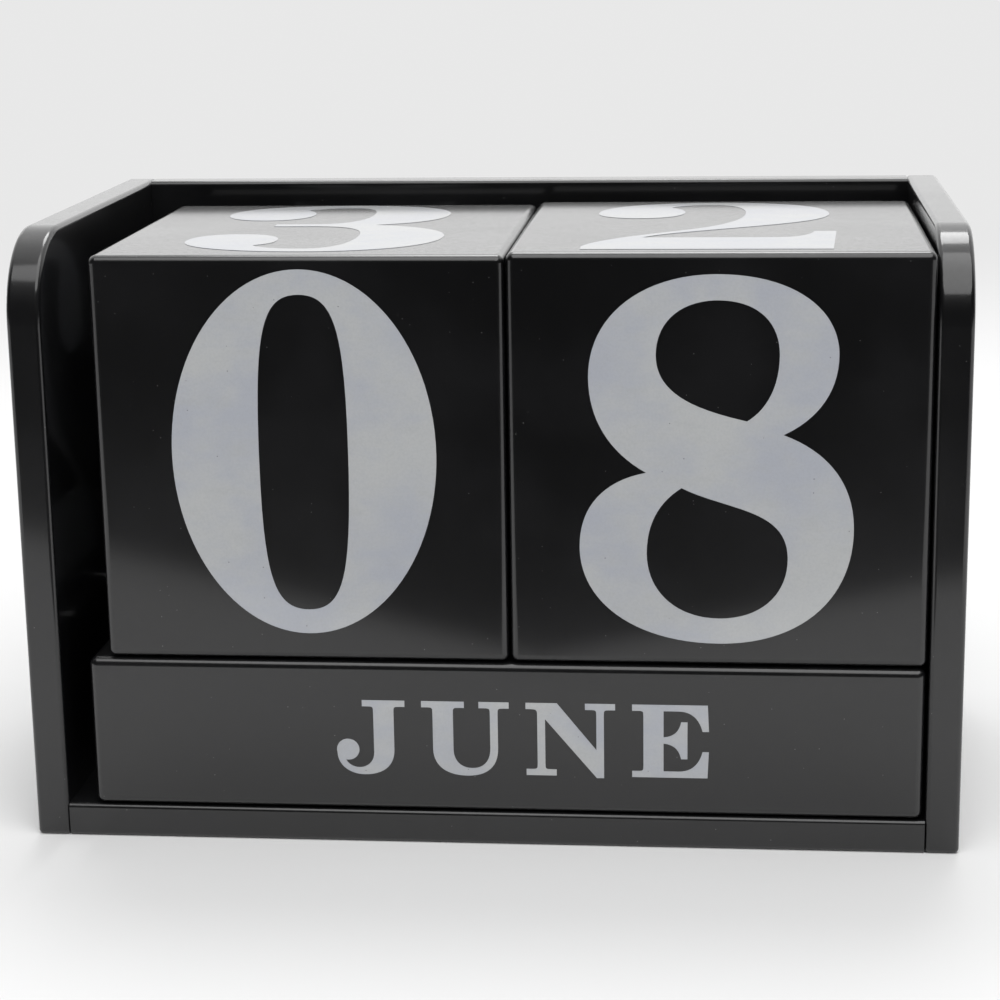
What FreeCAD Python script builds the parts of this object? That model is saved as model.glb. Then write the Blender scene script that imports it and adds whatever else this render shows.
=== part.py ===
import FreeCAD, Part
import os

# Perpetual desk calendar: an open holder of black boards, two number cubes and three month bars.
# Millimetres. X runs along the calendar, the front faces -Y, Z is up, and the origin is on the
# floor under the middle of the holder.

# Holder
WIDTH = 150.0
DEPTH = 82.0
HEIGHT = 99.0
BOARD = 5.5
SIDE_CORNER = 14.0
BOARD_EDGE = 0.8

# Number cubes: the right one was sawn a little larger than the left one
LEFT_CUBE = 65.0
RIGHT_CUBE = 65.4
CUBE_WALL = 5.0
CUBE_EDGE = 1.2

# Month bars
BAR_LENGTH = 134.0
BAR_SIDE = 25.0
BAR_EDGE = 1.3

# Room between pieces that move past each other
PLAY_UNDER_BARS = 0.15
PLAY_BETWEEN_BARS = 0.3
PLAY_UNDER_CUBES = 0.3
PLAY_BETWEEN_CUBES = 0.3
PLAY_RIGHT_OF_CUBES = 0.3
PLAY_RIGHT_OF_BARS = 0.4

# Brads: headed nails without their points, sunk under the paint
BRAD_LENGTH = 15.0
BRAD_RADIUS = 0.6
BRAD_HEAD_RADIUS = 1.0
BRAD_HEAD = 0.8
BRAD_SUNK = 1.0
BRAD_PLAY = 0.05
BRADS_PER_JOINT = 3
BRAD_END_MARGIN = 14.0

# Print: numerals and capitals stand proud of the paint by the thickness of the ink
INK = 0.06
NUMERAL_HEIGHT = 58.5
LEFT_NUMERAL_BOTTOM = 4.4
RIGHT_NUMERAL_BOTTOM = 3.6
CAPITAL_HEIGHT = 12.2
CAPITAL_BOTTOM = 6.4
WORD_SHIFT = 3.2
LETTER_GAP = 2.7
LONGEST_WORD = 117.0

# Strokes of the capitals
STEM = 3.2
HAIR = 1.25
SERIF = 1.05
SERIF_REACH = 1.8
BRACKET = 1.1
OVERSHOOT = 0.3
BOWL_BULGE = 1.15

# What is printed, in the order front, right, back, left, top, bottom on a cube
LEFT_NUMERALS = "015234"
RIGHT_NUMERALS = "816720"
# and in the order front, top, back, bottom on a bar
FRONT_MONTHS = ("JUNE", "JULY", "AUGUST", "MAY")
MIDDLE_MONTHS = ("JANUARY", "FEBRUARY", "MARCH", "APRIL")
REAR_MONTHS = ("SEPTEMBER", "OCTOBER", "NOVEMBER", "DECEMBER")

# Worked out from the values above
INNER_WALL = WIDTH / 2 - BOARD
FRONT = -DEPTH / 2
BARS_Z = BOARD + PLAY_UNDER_BARS
CUBES_Z = BARS_Z + BAR_SIDE + PLAY_UNDER_CUBES

ROUND = 0.5523
X_AXIS = FreeCAD.Vector(1, 0, 0)
Z_AXIS = FreeCAD.Vector(0, 0, 1)


def vector(x, y, z=0.0):
    return FreeCAD.Vector(x, y, z)


def save(shape, node):
    shape.exportStep(f"parts/{node}.step")


def moved(shape, x=0.0, y=0.0, z=0.0):
    copy = shape.copy()
    copy.translate(vector(x, y, z))
    return copy


def turned(shape, axis, degrees):
    copy = shape.copy()
    copy.rotate(vector(0, 0, 0), axis, degrees)
    return copy


# Flat outlines. A step of two numbers is a straight line to that point, and a step of six is a
# curve: its two handles and the point where it ends.
def outline(start, *steps):
    here = start
    edges = []
    for step in steps + (start,):
        there = step[-2:]
        if here == there:
            continue
        if len(step) == 2:
            edges.append(Part.makeLine(vector(*here), vector(*there)))
        else:
            curve = Part.BezierCurve()
            curve.setPoles([vector(*here), vector(*step[0:2]), vector(*step[2:4]), vector(*there)])
            edges.append(curve.toShape())
        here = there
    return Part.Face(Part.Wire(edges))


def block(x0, x1, y0, y1):
    return outline((x0, y0), (x1, y0), (x1, y1), (x0, y1))


def oval(x0, x1, y0, y1, fullness=ROUND):
    """Four equal curves; a fullness above that of an ellipse gives straighter sides."""
    x, y = (x0 + x1) / 2, (y0 + y1) / 2
    hx, hy = (x1 - x0) / 2 * fullness, (y1 - y0) / 2 * fullness
    return outline(
        (x, y0),
        (x + hx, y0, x1, y - hy, x1, y),
        (x1, y + hy, x + hx, y1, x, y1),
        (x - hx, y1, x0, y + hy, x0, y),
        (x0, y - hy, x - hx, y0, x, y0),
    )


def half_bowl(x0, x1, y0, y1):
    """A bowl that is straight on its left and round on its right."""
    y, reach = (y0 + y1) / 2, (y1 - y0) / 2
    x = max(x0, x1 - BOWL_BULGE * reach)
    hx, hy = (x1 - x) * ROUND, reach * ROUND
    return outline(
        (x0, y0),
        (x, y0),
        (x + hx, y0, x1, y - hy, x1, y),
        (x1, y + hy, x + hx, y1, x, y1),
        (x0, y1),
    )


def bowl(x0, x1, y0, y1):
    """The ring of B, D, P and R: hairlines above and below, a full stroke at the right."""
    inside = half_bowl(x0 + HAIR, x1 - STEM, y0 + 0.8 * HAIR, y1 - 0.8 * HAIR)
    return half_bowl(x0, x1, y0, y1).cut(inside)


# Numerals, drawn about their upright middle line, with the foot at zero
def zero():
    middle = NUMERAL_HEIGHT / 2
    counter = oval(-6.5, 7.7, middle - 25.3, middle + 25.3, fullness=0.79)
    return oval(-20.4, 21.6, 0, NUMERAL_HEIGHT).cut(counter)


def one():
    top = NUMERAL_HEIGHT
    upright = outline(
        (-6.5, 2),
        (7.5, 2),
        (7.5, top),
        (2.5, top),
        (-2.0, 54.5, -9.0, 52.6, -16.0, 52.3),
        (-16.0, 49.4),
        (-6.5, 49.4),
    )
    foot = outline(
        (-17.0, 0),
        (18.0, 0),
        (18.0, 3.2),
        (10.5, 3.2, 7.5, 4.5, 7.5, 8.5),
        (-6.5, 8.5),
        (-6.5, 4.5, -9.5, 3.2, -17.0, 3.2),
    )
    return upright.fuse(foot)


def two():
    top = NUMERAL_HEIGHT
    return outline(
        (-21.0, 44.0),
        (-21.0, 53.5, -12.0, top, -1.0, top),
        (11.0, top, 18.0, 53.0, 18.0, 43.5),
        (18.0, 33.0, 8.0, 28.5, -2.0, 22.0),
        (-7.5, 18.6, -10.5, 16.2, -12.5, 13.2),
        (8.0, 13.2),
        (12.0, 13.2, 14.2, 15.5, 14.9, 20.5),
        (18.4, 20.5),
        (17.2, 0.0),
        (-21.5, 0.0),
        (-21.5, 3.0),
        (-20.0, 10.0, -13.0, 16.0, -6.5, 21.5),
        (0.0, 27.0, 4.0, 34.5, 4.0, 44.5),
        (4.0, 51.5, 2.0, 55.3, -2.0, 55.3),
        (-5.3, 55.3, -7.7, 53.8, -8.8, 51.5),
        (-7.2, 50.0, -6.3, 47.5, -6.3, 45.0),
        (-6.3, 40.3, -9.5, 37.3, -13.6, 37.3),
        (-18.0, 37.3, -21.0, 40.0, -21.0, 44.0),
    )


def three():
    top = NUMERAL_HEIGHT
    return outline(
        (-20.0, 46.0),
        (-20.0, 54.5, -11.0, top, 0.0, top),
        (12.0, top, 18.6, 54.0, 18.6, 46.0),
        (18.6, 38.5, 14.0, 34.0, 7.5, 32.0),
        (15.0, 30.0, 20.8, 25.0, 20.8, 17.0),
        (20.8, 6.5, 12.5, 0.0, 0.0, 0.0),
        (-11.5, 0.0, -20.5, 5.0, -20.5, 12.5),
        (-20.5, 17.5, -17.5, 20.5, -13.0, 20.5),
        (-8.5, 20.5, -5.7, 17.5, -5.7, 13.0),
        (-5.7, 10.0, -6.5, 8.8, -8.6, 7.2),
        (-7.0, 4.2, -3.5, 3.2, -0.5, 3.2),
        (4.8, 3.2, 6.8, 8.5, 6.8, 17.5),
        (6.8, 26.0, 4.0, 30.3, -3.0, 30.3),
        (-9.4, 30.3),
        (-9.4, 33.0),
        (-3.0, 33.0),
        (3.0, 33.0, 5.4, 38.5, 5.4, 45.5),
        (5.4, 52.0, 3.8, 55.3, 0.0, 55.3),
        (-3.2, 55.3, -6.0, 54.0, -7.3, 51.9),
        (-6.0, 50.3, -5.0, 48.5, -5.0, 46.0),
        (-5.0, 41.0, -8.0, 38.0, -12.5, 38.0),
        (-17.0, 38.0, -20.0, 41.5, -20.0, 46.0),
    )


def four():
    top = NUMERAL_HEIGHT
    body = outline(
        (-21.5, 14.0),
        (21.0, 14.0),
        (21.0, 18.2),
        (14.5, 18.2),
        (14.5, top),
        (9.0, top),
        (-21.5, 18.2),
    )
    counter = outline((-16.2, 18.2), (1.2, 18.2), (1.2, 41.5))
    leg = outline(
        (-8.0, 0),
        (22.0, 0),
        (22.0, 3.2),
        (17.0, 3.2, 14.5, 4.5, 14.5, 8.5),
        (14.5, 15.0),
        (1.2, 15.0),
        (1.2, 8.5),
        (1.2, 4.5, -1.5, 3.2, -8.0, 3.2),
    )
    return body.cut(counter).fuse(leg)


def five():
    top = NUMERAL_HEIGHT
    return outline(
        (-15.0, top),
        (-5.0, 56.5, 8.0, 56.5, 15.5, top),
        (13.0, 49.5, 6.5, 45.8, -3.0, 45.8),
        (-6.5, 45.8, -9.5, 46.3, -12.0, 47.4),
        (-12.0, 32.2),
        (-8.5, 35.5, -4.0, 37.0, 1.5, 37.0),
        (13.0, 37.0, 20.8, 29.5, 20.8, 19.0),
        (20.8, 7.0, 12.5, 0.0, 0.0, 0.0),
        (-11.5, 0.0, -20.0, 5.0, -20.0, 12.5),
        (-20.0, 17.5, -17.0, 20.5, -12.5, 20.5),
        (-8.0, 20.5, -5.2, 17.5, -5.2, 13.0),
        (-5.2, 10.0, -6.0, 8.8, -8.1, 7.2),
        (-6.5, 4.2, -3.5, 3.2, -0.5, 3.2),
        (4.8, 3.2, 6.8, 9.0, 6.8, 18.5),
        (6.8, 28.5, 3.8, 33.2, -1.5, 33.2),
        (-5.5, 33.2, -9.0, 31.3, -11.2, 27.6),
        (-15.0, 27.6),
    )


def six():
    top = NUMERAL_HEIGHT
    body = outline(
        (0.0, 0.0),
        (-13.0, 0.0, -21.0, 10.0, -21.0, 26.0),
        (-21.0, 45.0, -12.0, top, 2.0, top),
        (12.0, top, 18.5, 53.5, 18.5, 47.5),
        (18.5, 43.0, 15.5, 40.0, 11.5, 40.0),
        (7.5, 40.0, 4.8, 42.5, 4.8, 46.5),
        (4.8, 49.2, 5.6, 50.8, 7.2, 52.2),
        (6.0, 54.2, 4.4, 55.3, 2.2, 55.3),
        (-5.0, 55.3, -7.0, 45.0, -7.0, 33.2),
        (-4.5, 35.8, 0.0, 37.2, 4.5, 37.2),
        (14.5, 37.2, 21.0, 29.5, 21.0, 19.0),
        (21.0, 7.5, 13.0, 0.0, 0.0, 0.0),
    )
    return body.cut(oval(-6.8, 7.2, 3.1, 33.5, fullness=0.66))


def seven():
    top = NUMERAL_HEIGHT
    return outline(
        (-18.5, top),
        (19.5, top),
        (19.5, 54.0),
        (11.0, 40.0, 5.8, 20.0, 5.5, 0.0),
        (-8.5, 0.0),
        (-7.5, 20.0, 0.0, 34.0, 10.0, 45.5),
        (-9.5, 45.5),
        (-13.0, 45.5, -15.5, 43.0, -16.2, 38.0),
        (-19.7, 38.0),
    )


def eight():
    top = NUMERAL_HEIGHT
    body = outline(
        (-11.2, 27.5),
        (-16.5, 30.5, -20.1, 35.5, -20.1, 42.5),
        (-20.1, 52.0, -12.0, top, -0.4, top),
        (11.0, top, 18.2, 53.3, 18.2, 46.0),
        (18.2, 40.3, 15.0, 36.0, 9.9, 33.6),
        (16.8, 31.0, 20.9, 26.0, 20.9, 18.5),
        (20.9, 7.5, 13.0, 0.0, 0.2, 0.0),
        (-12.8, 0.0, -21.6, 6.4, -21.6, 15.5),
        (-21.6, 22.0, -17.8, 26.2, -11.2, 27.5),
    )
    upper = outline(
        (4.3, 35.7),
        (-2.5, 37.3, -9.7, 39.5, -9.7, 46.0),
        (-9.7, 51.2, -5.9, 54.5, -0.2, 54.5),
        (5.6, 54.5, 9.2, 51.3, 9.2, 46.0),
        (9.2, 41.3, 7.4, 37.6, 4.3, 35.7),
    )
    lower = outline(
        (-5.7, 25.1),
        (1.5, 21.5, 10.8, 22.0, 10.8, 13.8),
        (10.8, 7.9, 6.5, 4.1, 0.2, 4.1),
        (-6.4, 4.1, -11.1, 8.3, -11.1, 14.6),
        (-11.1, 19.2, -9.3, 22.8, -5.7, 25.1),
    )
    return body.cut(upper).cut(lower)


def numeral(sign):
    drawings = (zero, one, two, three, four, five, six, seven, eight)
    return drawings[int(sign)]()


# Strokes of the capitals. Level 0 is the foot line, and facing 1 or -1 looks up or down from it.
def serif(x0, x1, level, facing, left=True, right=True):
    """A thin slab across the end of a stem that runs from x0 to x1, bracketed into it."""
    slab = level + facing * SERIF
    stem = level + facing * (SERIF + BRACKET)
    out0 = x0 - SERIF_REACH if left else x0
    out1 = x1 + SERIF_REACH if right else x1
    steps = [(out1, level)]
    if right:
        steps += [(out1, slab), (x1 + BRACKET, slab), (x1, slab, x1, slab, x1, stem)]
    else:
        steps += [(x1, stem)]
    steps += [(x0, stem)]
    if left:
        steps += [(x0, slab, x0, slab, x0 - BRACKET, slab), (out0, slab)]
    return outline((out0, level), *steps)


def stem(x0, x1, foot=True, head=True, right=True):
    pieces = [block(x0, x1, 0, CAPITAL_HEIGHT)]
    if foot:
        pieces.append(serif(x0, x1, 0, 1, right=right))
    if head:
        pieces.append(serif(x0, x1, CAPITAL_HEIGHT, -1, right=right))
    return pieces


def arm(x0, x1, level, facing):
    """A hairline from x0 to x1 with a beak at its end, curving towards facing."""
    way = 1 if x1 > x0 else -1
    hair = level + facing * SERIF
    return outline(
        (x0, level),
        (x1, level),
        (x1 + way * 0.2, level + facing * 4.4),
        (x1 - way * 0.8, level + facing * 4.4),
        (x1 - way * 1.4, level + facing * 2.0, x1 - way * 2.8, hair, x1 - way * 4.6, hair),
        (x0, hair),
    )


def tongue(x0, x1):
    """The short middle arm of E and F, flared to a beak both ways."""
    low, high, reach = 5.75, 6.75, 2.6
    return outline(
        (x0, low),
        (x1 - 2.0, low, x1 - 1.3, low - 1.2, x1 - 1.0, low - reach),
        (x1, low - reach),
        (x1, high + reach),
        (x1 - 1.0, high + reach),
        (x1 - 1.3, high + 1.2, x1 - 2.0, high, x0, high),
    )


def letter_c():
    return outline(
        (12.6, 8.3),
        (11.7, 8.3),
        (11.2, 10.4, 9.6, 11.5, 7.9, 11.5),
        (4.9, 11.5, 3.5, 9.2, 3.5, 6.1),
        (3.5, 2.9, 5.1, 0.7, 8.0, 0.7),
        (10.2, 0.7, 11.6, 2.0, 12.1, 4.0),
        (13.0, 4.0),
        (12.5, 1.2, 10.6, -0.3, 7.4, -0.3),
        (2.8, -0.3, 0.0, 2.2, 0.0, 6.1),
        (0.0, 10.0, 3.0, 12.5, 7.2, 12.5),
        (9.0, 12.5, 10.3, 12.0, 11.4, 11.0),
        (11.9, 12.4),
        (12.6, 12.4),
    )


def letter_j():
    hook = outline(
        (9.4, 11.5),
        (6.1, 11.5),
        (6.1, 3.4),
        (6.1, 1.8, 5.0, 0.8, 3.6, 0.8),
        (2.6, 0.8, 1.7, 1.4, 1.5, 2.2),
        (0.1, 3.4),
        (0.1, 1.2, 1.9, -0.4, 4.5, -0.4),
        (7.6, -0.4, 9.4, 1.2, 9.4, 3.9),
    )
    return [hook, oval(0.05, 3.7, 2.05, 5.6), serif(6.1, 9.4, CAPITAL_HEIGHT, -1)]


def letter_n():
    top = CAPITAL_HEIGHT
    diagonal = outline(
        (1.6, top),
        (5.0, top),
        (11.3, 4.4),
        (12.5, 4.4),
        (12.5, -OVERSHOOT),
        (11.35, -OVERSHOOT),
        (3.1, 9.5),
        (1.85, 10.9),
    )
    corner = outline((0, top), (3.0, top), (1.85, 9.9), (1.85, 11.15, 1.85, 11.15, 0, 11.15))
    right_stem = [block(11.3, 12.5, 4.0, top), serif(11.3, 12.5, top, -1)]
    left_stem = [block(1.85, 3.1, 0, 10.9), serif(1.85, 3.1, 0, 1)]
    return [diagonal, corner] + right_stem + left_stem


def letter_m():
    top = CAPITAL_HEIGHT
    thick = outline((1.6, top), (5.0, top), (9.7, 2.4), (8.9, 0), (7.9, 0), (1.85, 11.4))
    thin = outline((8.2, 0), (8.9, 0), (13.9, 10.4), (13.9, top), (13.0, top))
    corner = outline((0, top), (3.0, top), (1.85, 9.9), (1.85, 11.15, 1.85, 11.15, 0, 11.15))
    left_stem = [block(1.85, 3.0, 0, 10.9), serif(1.85, 3.0, 0, 1)]
    return [thick, thin, corner] + left_stem + stem(13.2, 16.4)


def letter_s():
    return outline(
        (9.6, 8.5),
        (8.8, 8.5),
        (8.2, 10.5, 6.8, 11.6, 5.0, 11.6),
        (3.4, 11.6, 2.6, 10.7, 2.6, 9.7),
        (2.6, 8.5, 3.6, 8.1, 5.8, 7.5),
        (8.6, 6.7, 10.5, 5.7, 10.5, 3.4),
        (10.5, 1.0, 8.6, -0.3, 5.9, -0.3),
        (4.2, -0.3, 2.8, 0.3, 1.7, 1.3),
        (1.1, -0.1),
        (0.4, -0.1),
        (0.4, 4.4),
        (1.2, 4.4),
        (1.8, 2.2, 3.4, 0.7, 5.4, 0.7),
        (7.2, 0.7, 8.1, 1.5, 8.1, 2.6),
        (8.1, 3.8, 7.2, 4.2, 5.0, 4.8),
        (2.0, 5.6, 0.4, 6.7, 0.4, 9.0),
        (0.4, 11.1, 2.1, 12.5, 4.8, 12.5),
        (6.4, 12.5, 7.6, 12.0, 8.5, 11.1),
        (9.0, 12.3),
        (9.6, 12.3),
    )


def letter_u():
    top = CAPITAL_HEIGHT
    body = outline(
        (1.8, top),
        (1.8, 4.2),
        (1.8, 1.2, 4.0, -0.3, 7.3, -0.3),
        (10.6, -0.3, 12.3, 1.4, 12.3, 4.4),
        (12.3, top),
        (11.05, top),
        (11.05, 4.4),
        (11.05, 2.2, 9.9, 1.0, 8.1, 1.0),
        (6.2, 1.0, 5.1, 2.2, 5.1, 4.2),
        (5.1, top),
    )
    return [body, serif(1.8, 5.1, top, -1), serif(11.05, 12.3, top, -1)]


def letter_r():
    leg = outline(
        (6.5, 6.5),
        (10.4, 6.5, 12.0, 5.2, 12.0, 3.2),
        (12.0, 1.7, 12.4, 0.9, 13.9, 0.9),
        (13.9, -0.1),
        (11.5, -0.5, 8.8, 0.1, 8.8, 2.8),
        (8.8, 4.6, 8.2, 5.6, 6.5, 5.6),
    )
    return stem(1.8, 5.0, right=False) + [bowl(3.5, 12.2, 5.5, CAPITAL_HEIGHT), leg]


def capital(sign):
    """The pieces of one capital and its width, from x = 0."""
    top = CAPITAL_HEIGHT
    upright = stem(1.8, 5.0, right=False)
    if sign == "A":
        thick = outline((6.4, 12.5), (8.1, 12.5), (12.9, 0.5), (9.6, 0.5), (5.9, 10.6))
        thin = outline((6.5, 12.3), (7.2, 10.4), (3.55, 0.5), (2.3, 0.5))
        bar = block(3.6, 10.6, 3.5, 4.55)
        return [thick, thin, bar, serif(2.3, 3.55, 0, 1), serif(9.6, 12.9, 0, 1)], 14.7
    if sign == "B":
        return upright + [bowl(3.5, 12.0, 6.0, top), bowl(3.5, 12.9, 0, 7.0)], 12.9
    if sign == "C":
        return [letter_c()], 13.0
    if sign == "D":
        return upright + [bowl(3.5, 14.0, 0, top)], 14.0
    if sign == "E":
        arms = [arm(4.5, 12.0, top, -1), arm(4.5, 12.0, 0, 1)]
        return upright + arms + [tongue(4.5, 8.8)], 12.2
    if sign == "F":
        return stem(1.8, 5.0) + [arm(4.5, 11.8, top, -1), tongue(4.5, 8.8)], 12.0
    if sign == "G":
        return [letter_c(), block(9.6, 12.8, 0.9, 5.2), block(8.0, 14.0, 4.6, 5.6)], 14.0
    if sign == "H":
        return stem(1.8, 5.0) + stem(10.6, 13.8) + [block(4.5, 11.0, 5.6, 6.7)], 15.6
    if sign == "I":
        return stem(1.8, 5.0), 6.8
    if sign == "J":
        return letter_j(), 11.2
    if sign == "L":
        return upright + [serif(1.8, 5.0, top, -1), arm(4.5, 11.8, 0, 1)], 12.0
    if sign == "M":
        return letter_m(), 18.2
    if sign == "N":
        return letter_n(), 14.3
    if sign == "O":
        ring = oval(0, 14.2, -OVERSHOOT, top + OVERSHOOT)
        return [ring.cut(oval(3.5, 10.7, 0.7, top - 0.7, fullness=0.62))], 14.2
    if sign == "P":
        return stem(1.8, 5.0) + [bowl(3.5, 12.5, 5.0, top)], 12.5
    if sign == "R":
        return letter_r(), 13.9
    if sign == "S":
        return [letter_s()], 10.5
    if sign == "T":
        arms = [arm(6.0, 13.4, top, -1), arm(7.6, 0.2, top, -1)]
        return stem(5.2, 8.4, head=False) + arms, 13.6
    if sign == "U":
        return letter_u(), 14.1
    if sign == "V":
        thick = outline((1.9, 11.7), (5.2, 11.7), (8.9, 2.2), (8.1, -0.3), (7.0, -0.3))
        thin = outline((7.4, -0.3), (8.1, -0.3), (12.3, 11.7), (11.05, 11.7), (7.6, 1.9))
        return [thick, thin, serif(1.9, 5.2, top, -1), serif(11.05, 12.3, top, -1)], 14.1
    if sign == "Y":
        thick = outline((1.9, 11.7), (5.3, 11.7), (8.6, 6.4), (9.0, 5.0), (5.8, 5.0))
        thin = outline((11.0, 11.7), (12.25, 11.7), (9.0, 5.9), (8.0, 5.9))
        leg = [block(5.8, 9.0, 0, 5.4), serif(5.8, 9.0, 0, 1)]
        return [thick, thin, serif(1.9, 5.3, top, -1), serif(11.0, 12.25, top, -1)] + leg, 14.1
    raise ValueError(f"no drawing for {sign}")


def inked(faces):
    """Flat faces of one sign, thickened upwards and joined into one solid."""
    solids = [face.extrude(vector(0, 0, INK)) for face in faces]
    if len(solids) == 1:
        return solids[0]
    return solids[0].multiFuse(solids[1:]).removeSplitter()


def word(letters, drawn):
    """A month's name about x = 0 with its foot at y = 0; a long name is set smaller."""
    signs = []
    x = 0.0
    for sign in letters:
        if sign not in drawn:
            faces, width = capital(sign)
            drawn[sign] = (inked(faces), width)
        solid, width = drawn[sign]
        signs.append(moved(solid, x=x))
        x += width + LETTER_GAP
    length = x - LETTER_GAP
    name = moved(Part.makeCompound(signs), x=-length / 2)
    if length > LONGEST_WORD:
        middle = vector(0, CAPITAL_HEIGHT / 2, 0)
        name.scale(LONGEST_WORD / length, middle)
        name = moved(name, z=-name.BoundBox.ZMin)
    return name


def on_front(print_shape, half, bottom):
    """Stand a flat print on the front face of a block of that half size about the origin."""
    upright = turned(print_shape, X_AXIS, 90)
    return moved(upright, y=-half, z=bottom - half)


# Number cubes
def cube_boards(size):
    """Six boards mitred along the cube's edges, about the origin."""
    half = size / 2
    block_shape = Part.makeBox(size, size, size, vector(-half, -half, -half))
    rounded = block_shape.makeFillet(CUBE_EDGE, block_shape.Edges)
    inside, outside = half - CUBE_WALL, half + CUBE_EDGE
    squares = []
    for reach in (inside, outside):
        corners = [vector(-reach, -reach, -reach), vector(reach, -reach, -reach),
                   vector(reach, -reach, reach), vector(-reach, -reach, reach)]
        squares.append(Part.makePolygon(corners + corners[:1]))
    front = rounded.common(Part.makeLoft(squares, True, True))
    return {
        "front": front,
        "right": turned(front, Z_AXIS, 90),
        "back": turned(front, Z_AXIS, 180),
        "left": turned(front, Z_AXIS, -90),
        "top": turned(front, X_AXIS, -90),
        "bottom": turned(front, X_AXIS, 90),
    }


def cube_numerals(size, signs, bottom):
    """One numeral on each face; those on top and below tip over from the front."""
    faces = ((Z_AXIS, 0), (Z_AXIS, 90), (Z_AXIS, 180), (Z_AXIS, -90), (X_AXIS, -90), (X_AXIS, 90))
    prints = []
    for sign, (axis, degrees) in zip(signs, faces):
        upright = on_front(inked([numeral(sign)]), size / 2, bottom)
        prints.append(turned(upright, axis, degrees))
    return Part.makeCompound(prints)


def number_cube(name, size, left_x, signs, bottom):
    x, y, z = left_x + size / 2, FRONT + size / 2, CUBES_Z + size / 2
    for side, board in cube_boards(size).items():
        save(moved(board, x, y, z), f"{name}_{side}_board")
    save(moved(cube_numerals(size, signs, bottom), x, y, z), f"{name}_numerals")


# Month bars
def month_bar(name, place, months, drawn):
    """A square bar; place counts the bars that lie in front of it."""
    half = BAR_SIDE / 2
    right_x = INNER_WALL - PLAY_RIGHT_OF_BARS
    x, z = right_x - BAR_LENGTH / 2, BARS_Z + half
    y = FRONT + half + place * (BAR_SIDE + PLAY_BETWEEN_BARS)
    bar = Part.makeBox(BAR_LENGTH, BAR_SIDE, BAR_SIDE, vector(-BAR_LENGTH / 2, -half, -half))
    save(moved(bar.makeFillet(BAR_EDGE, bar.Edges), x, y, z), f"{name}_month_bar")
    names = []
    for quarter, month in enumerate(months):
        upright = on_front(moved(word(month, drawn), x=WORD_SHIFT), half, CAPITAL_BOTTOM)
        names.append(turned(upright, X_AXIS, -90 * quarter))
    save(moved(Part.makeCompound(names), x, y, z), f"{name}_month_names")


# Holder
def brad_places():
    """Where the brads of one side enter: (y, z) into the base, then into the back."""
    base = []
    back = []
    for count in range(BRADS_PER_JOINT):
        share = count / (BRADS_PER_JOINT - 1)
        base.append((FRONT + BRAD_END_MARGIN + share * (DEPTH - 2 * BRAD_END_MARGIN), BOARD / 2))
        rise = HEIGHT - BOARD - 2 * BRAD_END_MARGIN
        back.append((DEPTH / 2 - BOARD / 2, BOARD + BRAD_END_MARGIN + share * rise))
    return base, back


def brad(y, z, side, play=0.0):
    """A brad driven in from the side at side * WIDTH / 2; play makes it the hole for one."""
    head_x = side * (WIDTH / 2 - BRAD_SUNK)
    inward = vector(-side, 0, 0)
    start = vector(head_x, y, z)
    shank = Part.makeCylinder(BRAD_RADIUS + play, BRAD_LENGTH + play, start, inward)
    head = Part.makeCylinder(BRAD_HEAD_RADIUS + play, BRAD_HEAD + play, start, inward)
    return shank.fuse(head).removeSplitter()


def brad_holes(places):
    return [brad(y, z, side, BRAD_PLAY) for y, z in places for side in (-1, 1)]


def save_brads(places, node):
    save(Part.makeCompound([brad(y, z, side) for y, z in places for side in (-1, 1)]), node)


def side_panel(side, holes):
    """A board on edge, its front top corner cut to a large round."""
    outer, inner = side * WIDTH / 2, side * INNER_WALL
    back, low, high = DEPTH / 2, 0.0, HEIGHT
    turn = high - SIDE_CORNER
    bulge = SIDE_CORNER * (1 - 0.5 ** 0.5)
    corner = Part.Arc(
        vector(outer, FRONT, turn),
        vector(outer, FRONT + bulge, high - bulge),
        vector(outer, FRONT + SIDE_CORNER, high),
    )
    edges = [
        Part.makeLine(vector(outer, back, low), vector(outer, FRONT, low)),
        Part.makeLine(vector(outer, FRONT, low), vector(outer, FRONT, turn)),
        corner.toShape(),
        Part.makeLine(vector(outer, FRONT + SIDE_CORNER, high), vector(outer, back, high)),
        Part.makeLine(vector(outer, back, high), vector(outer, back, low)),
    ]
    board = Part.Face(Part.Wire(edges)).extrude(vector(inner - outer, 0, 0))
    board = board.makeFillet(BOARD_EDGE, board.Edges)
    return board.cut(holes)


def eased_along_x(board, corners):
    """Round the edges of a board that run along X through the given (y, z) corners."""
    chosen = []
    for edge in board.Edges:
        middle = edge.CenterOfMass
        along_x = abs(edge.BoundBox.XLength - edge.Length) < 1e-6
        if along_x and any(abs(middle.y - y) + abs(middle.z - z) < 1e-6 for y, z in corners):
            chosen.append(edge)
    return board.makeFillet(BOARD_EDGE, chosen)


def base_panel(holes):
    board = Part.makeBox(2 * INNER_WALL, DEPTH, BOARD, vector(-INNER_WALL, FRONT, 0))
    corners = [(FRONT, 0), (FRONT, BOARD), (DEPTH / 2, 0)]
    return eased_along_x(board, corners).cut(holes)


def back_panel(holes):
    y = DEPTH / 2 - BOARD
    board = Part.makeBox(2 * INNER_WALL, BOARD, HEIGHT - BOARD, vector(-INNER_WALL, y, BOARD))
    return eased_along_x(board, [(y, HEIGHT), (DEPTH / 2, HEIGHT)]).cut(holes)


def holder():
    base_places, back_places = brad_places()
    base_holes, back_holes = brad_holes(base_places), brad_holes(back_places)
    save(side_panel(-1, base_holes + back_holes), "left_side_panel")
    save(side_panel(1, base_holes + back_holes), "right_side_panel")
    save(base_panel(base_holes), "base_panel")
    save(back_panel(back_holes), "back_panel")
    save_brads(base_places, "base_brads")
    save_brads(back_places, "back_brads")


os.makedirs("parts", exist_ok=True)
holder()

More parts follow.
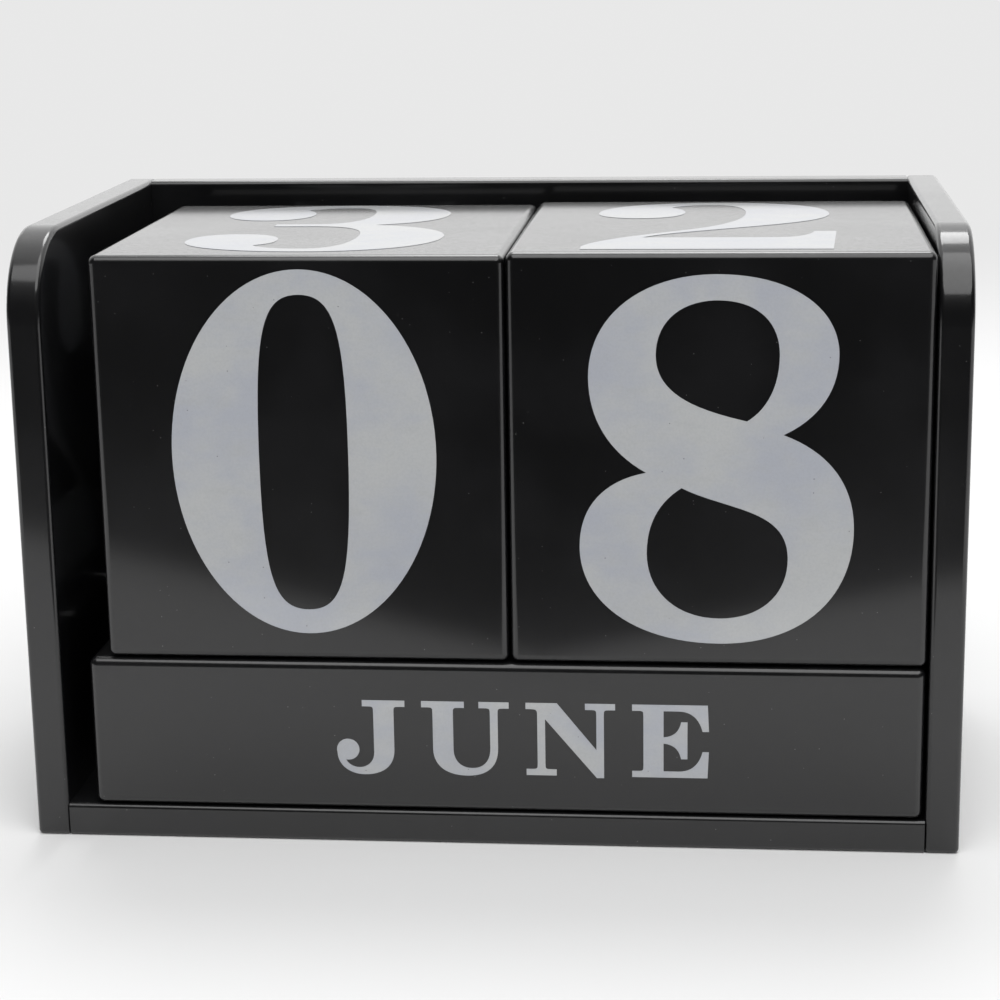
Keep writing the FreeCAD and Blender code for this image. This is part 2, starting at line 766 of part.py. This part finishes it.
right_cube_x = INNER_WALL - PLAY_RIGHT_OF_CUBES - RIGHT_CUBE
left_cube_x = right_cube_x - PLAY_BETWEEN_CUBES - LEFT_CUBE
number_cube("left_cube", LEFT_CUBE, left_cube_x, LEFT_NUMERALS, LEFT_NUMERAL_BOTTOM)
number_cube("right_cube", RIGHT_CUBE, right_cube_x, RIGHT_NUMERALS, RIGHT_NUMERAL_BOTTOM)

drawn_capitals = {}
month_bar("front", 0, FRONT_MONTHS, drawn_capitals)
month_bar("middle", 1, MIDDLE_MONTHS, drawn_capitals)
month_bar("rear", 2, REAR_MONTHS, drawn_capitals)
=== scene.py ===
import bpy
import math
from mathutils import Matrix, Vector


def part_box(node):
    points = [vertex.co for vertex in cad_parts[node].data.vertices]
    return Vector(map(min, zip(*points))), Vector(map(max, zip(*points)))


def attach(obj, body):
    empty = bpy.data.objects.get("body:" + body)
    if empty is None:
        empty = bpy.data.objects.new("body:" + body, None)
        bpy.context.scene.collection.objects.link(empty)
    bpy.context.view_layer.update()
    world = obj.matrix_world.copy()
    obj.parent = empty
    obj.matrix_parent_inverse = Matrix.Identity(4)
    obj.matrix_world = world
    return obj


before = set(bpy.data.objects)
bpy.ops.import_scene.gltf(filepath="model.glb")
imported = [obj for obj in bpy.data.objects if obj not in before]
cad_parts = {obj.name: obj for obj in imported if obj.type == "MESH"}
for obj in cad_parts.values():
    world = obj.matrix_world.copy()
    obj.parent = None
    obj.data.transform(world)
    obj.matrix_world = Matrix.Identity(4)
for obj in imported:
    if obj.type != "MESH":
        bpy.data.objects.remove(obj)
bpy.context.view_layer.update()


# Room: a white paper sweep that the calendar stands on, under a large soft lamp in front and
# another above. Polished black reflects the near paper. Beyond it, in the floor and the world,
# glossy rays see a painted reflection: dark in front, white behind.
class Channel:
    """One output of a node; sums on it add Math nodes to the same tree."""

    def __init__(self, nodes, socket):
        self.nodes = nodes
        self.socket = socket

    def out(self, name):
        return Channel(self.nodes, self.socket.node.outputs[name])

    def math(self, operation, first, second=0.0):
        return self.nodes.add("ShaderNodeMath", {"operation": operation}, {0: first, 1: second})

    def __add__(self, other):
        return self.math("ADD", self, other)

    __radd__ = __add__

    def __sub__(self, other):
        return self.math("SUBTRACT", self, other)

    def __rsub__(self, other):
        return self.math("SUBTRACT", other, self)

    def __mul__(self, other):
        return self.math("MULTIPLY", self, other)

    __rmul__ = __mul__

    def __abs__(self):
        return self.math("ABSOLUTE", self)

    def __lt__(self, other):
        return self.math("LESS_THAN", self, other)

    def step(self, low, high):
        """Rises smoothly from 0 to 1 between low and high."""
        limits = {"Value": self, "From Min": low, "From Max": high}
        return self.nodes.add("ShaderNodeMapRange", {"interpolation_type": "SMOOTHSTEP"}, limits)


class Nodes:
    """Adds nodes to one tree, of a material, of the world or of a shape."""

    def __init__(self, tree):
        self.tree = tree

    def feed(self, socket, value):
        if isinstance(value, Channel):
            self.tree.links.new(value.socket, socket)
        else:
            socket.default_value = value

    def add(self, kind, settings, inputs):
        """A new node; its settings come first, then the values or links of its sockets."""
        node = self.tree.nodes.new(kind)
        for name, value in settings.items():
            setattr(node, name, value)
        for name, value in inputs.items():
            self.feed(node.inputs[name], value)
        return Channel(self, node.outputs[0])

    def place(self):
        return self.add("ShaderNodeTexCoord", {}, {}).out("Object")

    def mix(self, mask, first, second):
        colours = {"Factor": mask, "A": first, "B": second}
        mixed = self.tree.nodes.new("ShaderNodeMix")
        mixed.data_type = "RGBA"
        for socket in mixed.inputs:
            if socket.enabled and socket.name in colours:
                self.feed(socket, colours[socket.name])
        return Channel(self, next(socket for socket in mixed.outputs if socket.enabled))


def grey(level):
    return (level, level, level, 1.0)


def sweep_finish(backdrop):
    """Matt white paper; far off it is the plain backdrop. Glossy rays see the paper end early at
    a slanted edge, with a painted dark reflection beyond it.
    """
    paper_ends, backdrop_begins = 0.30, 0.75
    reflected_edge, edge_blur, edge_slant = -0.142, 0.010, 0.71
    painted_dark_reflection = grey(0.006)
    material = bpy.data.materials.new("white_sweep")
    material.use_nodes = True
    nodes = Nodes(material.node_tree)
    shader = nodes.tree.nodes["Principled BSDF"]
    shader.inputs["Base Color"].default_value = grey(0.82)
    shader.inputs["Roughness"].default_value = 0.9
    shader.inputs["Specular IOR Level"].default_value = 0.1
    place = nodes.place()
    axes = nodes.add("ShaderNodeSeparateXYZ", {}, {0: place})
    far_out = nodes.add("ShaderNodeVectorMath", {"operation": "LENGTH"}, {0: place}).out("Value")
    path = nodes.add("ShaderNodeLightPath", {}, {})
    nearness = axes.out("Y") + edge_slant * abs(axes.out("X"))
    # Past the slanted edge, glossy rays see near-black emission: a painted dark reflection. The
    # eye and diffuse light still see white paper there.
    painted_dark_reflection_mask = 1 - nearness.step(reflected_edge - edge_blur, reflected_edge + edge_blur)
    plain = nodes.add("ShaderNodeEmission", {}, {"Color": backdrop})
    painted_dark_reflection_shader = nodes.add("ShaderNodeEmission", {}, {"Color": painted_dark_reflection})
    for_eye = far_out.step(paper_ends, backdrop_begins) * path.out("Is Camera Ray")
    paper = Channel(nodes, shader.outputs[0])
    seen = nodes.add("ShaderNodeMixShader", {}, {0: for_eye, 1: paper, 2: plain})
    painted_dark_reflection_in_gloss = painted_dark_reflection_mask * path.out("Is Glossy Ray")
    whole = nodes.add("ShaderNodeMixShader", {}, {0: painted_dark_reflection_in_gloss, 1: seen, 2: painted_dark_reflection_shader})
    nodes.feed(nodes.tree.nodes["Material Output"].inputs["Surface"], whole)
    return material


def sweep(backdrop):
    """One flat sheet under the calendar that reaches past the picture's edges."""
    half_wide, half_deep = 1.6, 2.4
    mesh = bpy.data.meshes.new("sweep")
    corners = [(side * half_wide, way * half_deep, 0.0)
               for side, way in ((-1, -1), (1, -1), (1, 1), (-1, 1))]
    mesh.from_pydata(corners, [], [(0, 1, 2, 3)])
    mesh.materials.append(sweep_finish(backdrop))
    floor = bpy.data.objects.new("sweep", mesh)
    bpy.context.scene.collection.objects.link(floor)


def surroundings(backdrop):
    """Pale to the eye, with a grey fill light; glossy rays alone see a painted reflection, white
    above and behind and dark in front.
    """
    height_share, dark_until, white_from = 0.5, -0.05, 0.55
    painted_dark_front, painted_white_behind, fill_light = grey(0.008), grey(1.0), grey(0.52)
    world = bpy.data.worlds.new("studio")
    bpy.context.scene.world = world
    world.use_nodes = True
    nodes = Nodes(world.node_tree)
    place = nodes.add("ShaderNodeTexCoord", {}, {}).out("Generated")
    way = nodes.add("ShaderNodeSeparateXYZ", {}, {0: place})
    behind = (way.out("Y") + height_share * way.out("Z")).step(dark_until, white_from)
    path = nodes.add("ShaderNodeLightPath", {}, {})
    # Painted reflection: only glossy rays see this near-black front and white rear. All other
    # light from the world is the plain grey fill.
    painted_reflection = nodes.mix(behind, painted_dark_front, painted_white_behind)
    for_light = nodes.mix(path.out("Is Glossy Ray"), fill_light, painted_reflection)
    colour = nodes.mix(path.out("Is Camera Ray"), for_light, backdrop)
    nodes.feed(nodes.tree.nodes["Background"].inputs["Color"], colour)


def lamp(name, place, size, watts):
    """A round soft lamp aimed at the middle of the calendar."""
    middle = Vector((0.0, 0.0, 0.04))
    light = bpy.data.lights.new(name, "AREA")
    light.shape = "DISK"
    light.size = size
    light.energy = watts
    stand = bpy.data.objects.new(name, light)
    bpy.context.scene.collection.objects.link(stand)
    stand.location = place
    stand.rotation_euler = (middle - Vector(place)).to_track_quat("-Z", "Y").to_euler()


def camera():
    """Above the calendar's right half, turned a little left and down."""
    place = (0.0393, -0.4073, 0.1478)
    pitch, yaw, roll = math.radians(13.78), math.radians(-5.74), math.radians(-0.90)
    ahead = Vector((math.sin(yaw) * math.cos(pitch), math.cos(yaw) * math.cos(pitch),
                    -math.sin(pitch)))
    level = Vector((math.cos(yaw), -math.sin(yaw), 0.0))
    upright = level.cross(ahead)
    right = math.cos(roll) * level + math.sin(roll) * upright
    up = math.cos(roll) * upright - math.sin(roll) * level
    lens = bpy.data.cameras.new("camera")
    lens.sensor_width = 36.0
    lens.lens = 87.24
    lens.clip_start = 0.01
    eye = bpy.data.objects.new("camera", lens)
    bpy.context.scene.collection.objects.link(eye)
    turn = Matrix((right, up, -ahead)).transposed()
    eye.matrix_world = Matrix.Translation(place) @ turn.to_4x4()
    bpy.context.scene.camera = eye


bpy.context.scene.view_settings.view_transform = "Standard"
pale_backdrop = grey(0.81)
sweep(pale_backdrop)
surroundings(pale_backdrop)
lamp("front_lamp", place=(0.15, -0.60, 1.10), size=1.3, watts=10.5)
lamp("top_lamp", place=(0.0, 0.50, 1.05), size=0.6, watts=5.5)
camera()


# Holder boards: sanded board glued and pinned, then sprayed with two coats of satin black. The
# paint lies a little wavy over the board, with a fine orange peel and a few dust nibs.
def noise(nodes, place, per_metre, detail, roughness=0.5):
    sizes = {"Vector": place, "Scale": per_metre, "Detail": detail, "Roughness": roughness}
    return nodes.add("ShaderNodeTexNoise", {}, sizes)


def specks(nodes, place, per_metre, radius_m, share):
    """1 inside round specks scattered at random; a share of the cells holds one."""
    solid_core = 0.6
    cells = nodes.add("ShaderNodeTexVoronoi", {}, {"Vector": place, "Scale": per_metre})
    chance = nodes.add("ShaderNodeSeparateColor", {}, {0: cells.out("Color")})
    edge = radius_m * per_metre
    return (1 - cells.step(solid_core * edge, edge)) * (chance < share)


def bump(nodes, height):
    """A bump whose heights are in millimetres."""
    return nodes.add("ShaderNodeBump", {}, {"Height": height, "Distance": 0.001})


def black_paint(name, tint):
    """Satin black; layers of noise vary its tint, its shine and, in mm, its height."""
    satin, cloud_dulls, fibre_dulls = 0.26, 0.12, 0.06
    full_coat, layer_thins, cloud_thins = 1.22, 0.20, 0.12
    thin_times, dust_cover, dust_colour = 2.0, 0.6, grey(0.30)
    wave_mm, peel_mm, fibre_mm, nib_mm = 0.10, 0.012, 0.005, 0.03
    material = bpy.data.materials.new(name)
    material.use_nodes = True
    nodes = Nodes(material.node_tree)
    shader = nodes.tree.nodes["Principled BSDF"]
    shader.inputs["Specular IOR Level"].default_value = 0.3
    shader.inputs["Coat Roughness"].default_value = 0.10
    place = nodes.place()
    cloud = noise(nodes, place, per_metre=55.0, detail=4.0)
    wave = noise(nodes, place, per_metre=70.0, detail=1.0)
    peel = noise(nodes, place, per_metre=1300.0, detail=2.0)
    fibre = noise(nodes, place, per_metre=6000.0, detail=3.0, roughness=0.7)
    nibs = specks(nodes, place, per_metre=300.0, radius_m=0.00022, share=0.35)
    dust = specks(nodes, place, per_metre=800.0, radius_m=0.00008, share=0.22)
    thin = [thin_times * channel for channel in tint]
    painted = nodes.mix(cloud.step(low=0.35, high=0.75), (*tint, 1.0), (*thin, 1.0))
    colour = nodes.mix(dust_cover * dust, painted, dust_colour)
    dulled = satin + cloud_dulls * cloud + fibre_dulls * fibre
    coat = full_coat - layer_thins * peel - layer_thins * fibre - cloud_thins * cloud
    height = wave_mm * wave + peel_mm * peel + fibre_mm * fibre + nib_mm * nibs
    nodes.feed(shader.inputs["Base Color"], colour)
    nodes.feed(shader.inputs["Roughness"], dulled)
    nodes.feed(shader.inputs["Coat Weight"], coat)
    nodes.feed(shader.inputs["Normal"], bump(nodes, height))
    return material


def finish(node, material):
    """Gives one of the frame's nodes a material all over."""
    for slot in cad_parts[node].material_slots:
        slot.material = material


holder_paint = black_paint("holder_paint", tint=(0.0034, 0.0034, 0.0038))
for board in ("left_side_panel", "right_side_panel", "base_panel", "back_panel"):
    finish(board, holder_paint)


# Brads and their filler: bright steel brads are punched below the side panels' faces, and the
# filler over each head, sanded and painted with the board, still shows as a low round spot.
def brad_steel():
    material = bpy.data.materials.new("brad_steel")
    material.use_nodes = True
    shader = material.node_tree.nodes["Principled BSDF"]
    shader.inputs["Base Color"].default_value = (0.62, 0.61, 0.59, 1.0)
    shader.inputs["Metallic"].default_value = 1.0
    shader.inputs["Roughness"].default_value = 0.32
    return material


def spot_tree():
    """Sets a low dome on every point of a mesh."""
    tree = bpy.data.node_groups.new("filler_spots", "GeometryNodeTree")
    wanted = (("Geometry", "NodeSocketGeometry"), ("Radius", "NodeSocketFloat"),
              ("Rise", "NodeSocketFloat"), ("Paint", "NodeSocketMaterial"))
    for name, kind in wanted:
        tree.interface.new_socket(name, in_out="INPUT", socket_type=kind)
    tree.interface.new_socket("Geometry", in_out="OUTPUT", socket_type="NodeSocketGeometry")
    nodes = Nodes(tree)
    given = nodes.add("NodeGroupInput", {}, {})
    round_in = {"Segments": 32, "Rings": 10, "Radius": 1.0}
    ball = nodes.add("GeometryNodeMeshUVSphere", {}, round_in)
    radius, rise = given.out("Radius"), given.out("Rise")
    flat = nodes.add("ShaderNodeCombineXYZ", {}, {0: rise, 1: radius, 2: radius})
    dome = nodes.add("GeometryNodeTransform", {}, {"Geometry": ball, "Scale": flat})
    spots = {"Points": given.out("Geometry"), "Instance": dome}
    spread = nodes.add("GeometryNodeInstanceOnPoints", {}, spots)
    real = nodes.add("GeometryNodeRealizeInstances", {}, {"Geometry": spread})
    smooth = nodes.add("GeometryNodeSetShadeSmooth", {}, {"Geometry": real})
    painted = {"Geometry": smooth, "Material": given.out("Paint")}
    done = nodes.add("GeometryNodeSetMaterial", {}, painted)
    nodes.feed(nodes.tree.nodes.new("NodeGroupOutput").inputs["Geometry"], done)
    return tree


def brad_places():
    """The points of the side panels' outer faces that lie over the brads' heads."""
    margin, brads_per_joint = 0.014, 3
    outer_faces = (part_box("left_side_panel")[0][0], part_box("right_side_panel")[1][0])
    base_low, base_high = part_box("base_panel")
    back_low, back_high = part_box("back_panel")
    base_z = (base_low[2] + base_high[2]) / 2
    back_y = (back_low[1] + back_high[1]) / 2
    places = []
    for count in range(brads_per_joint):
        share = count / (brads_per_joint - 1)
        base_y = base_low[1] + margin + share * (base_high[1] - base_low[1] - 2 * margin)
        back_z = back_low[2] + margin + share * (back_high[2] - back_low[2] - 2 * margin)
        for x in outer_faces:
            places += [(x, base_y, base_z), (x, back_y, back_z)]
    return places


def grown(name, mesh, tree, given):
    """A new object whose mesh is what a shape tree makes of another mesh."""
    seed = bpy.data.objects.new(name, mesh)
    bpy.context.scene.collection.objects.link(seed)
    shape = seed.modifiers.new("shape", "NODES")
    shape.node_group = tree
    for socket in tree.interface.items_tree:
        if socket.in_out == "INPUT" and socket.name in given:
            shape[socket.identifier] = given[socket.name]
    graph = bpy.context.evaluated_depsgraph_get()
    made = bpy.data.meshes.new_from_object(seed.evaluated_get(graph))
    seed.modifiers.remove(shape)
    seed.data = made
    made.name = name
    return seed


over_heads = bpy.data.meshes.new("brad_places")
over_heads.from_pydata(brad_places(), [], [])
spot_sizes = {"Radius": 0.00115, "Rise": 0.00004, "Paint": holder_paint}
filler_spots = grown("filler_spots", over_heads, spot_tree(), spot_sizes)
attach(filler_spots, "holder")
steel = brad_steel()
for brads in ("base_brads", "back_brads"):
    finish(brads, steel)


# Number cubes: six mitred boards each, glued into a hollow box, sanded round at every edge and
# sprayed with the same black.
cube_paint = black_paint("cube_paint", tint=(0.0030, 0.0030, 0.0034))
for cube in ("left_cube", "right_cube"):
    for side in ("front", "back", "left", "right", "top", "bottom"):
        finish(f"{cube}_{side}_board", cube_paint)


# Month bars: solid square bars, sanded round at every edge and sprayed with the same black.
bar_paint = black_paint("bar_paint", tint=(0.0032, 0.0032, 0.0036))
for bar in ("front", "middle", "rear"):
    finish(f"{bar}_month_bar", bar_paint)


# Print: pale cool grey ink pushed through a fine screen, so it is slightly cloudy, has the
# screen's grain, and misses the paint in pinholes.
def grey_print():
    cool, neutral = (0.368, 0.385, 0.430, 1.0), (0.428, 0.437, 0.440, 1.0)
    thin, bare_paint = (0.31, 0.32, 0.34, 1.0), grey(0.03)
    drawn_out, cloud_share, streak_share = (0.35, 1.0, 1.0), 0.7, 0.3
    wear, pinhole_cover, satin, grain_dulls = 0.22, 0.55, 0.4, 0.15
    grain_mm, cloud_mm, pinhole_mm = 0.02, 0.1, 0.04
    material = bpy.data.materials.new("grey_print")
    material.use_nodes = True
    nodes = Nodes(material.node_tree)
    shader = nodes.tree.nodes["Principled BSDF"]
    shader.inputs["Coat Weight"].default_value = 1.0
    shader.inputs["Coat Roughness"].default_value = 0.10
    place = nodes.place()
    along = nodes.add("ShaderNodeMapping", {}, {"Vector": place, "Scale": drawn_out})
    cloud = noise(nodes, place, per_metre=60.0, detail=6.0, roughness=0.6)
    streak = noise(nodes, along, per_metre=420.0, detail=4.0, roughness=0.65)
    grain = noise(nodes, place, per_metre=2600.0, detail=2.0)
    pinholes = specks(nodes, place, per_metre=900.0, radius_m=0.00012, share=0.06)
    uneven = (cloud_share * cloud + streak_share * streak).step(low=0.36, high=0.62)
    worn = wear * grain.step(low=0.3, high=0.8) + wear * streak.step(low=0.5, high=0.75)
    printed_colour = nodes.mix(worn, nodes.mix(uneven, cool, neutral), thin)
    colour = nodes.mix(pinhole_cover * pinholes, printed_colour, bare_paint)
    height = grain_mm * grain + cloud_mm * cloud - pinhole_mm * pinholes
    nodes.feed(shader.inputs["Base Color"], colour)
    nodes.feed(shader.inputs["Roughness"], satin + grain_dulls * grain)
    nodes.feed(shader.inputs["Normal"], bump(nodes, height))
    return material


ink = grey_print()
for printed in ("left_cube_numerals", "right_cube_numerals", "front_month_names",
                "middle_month_names", "rear_month_names"):
    finish(printed, ink)
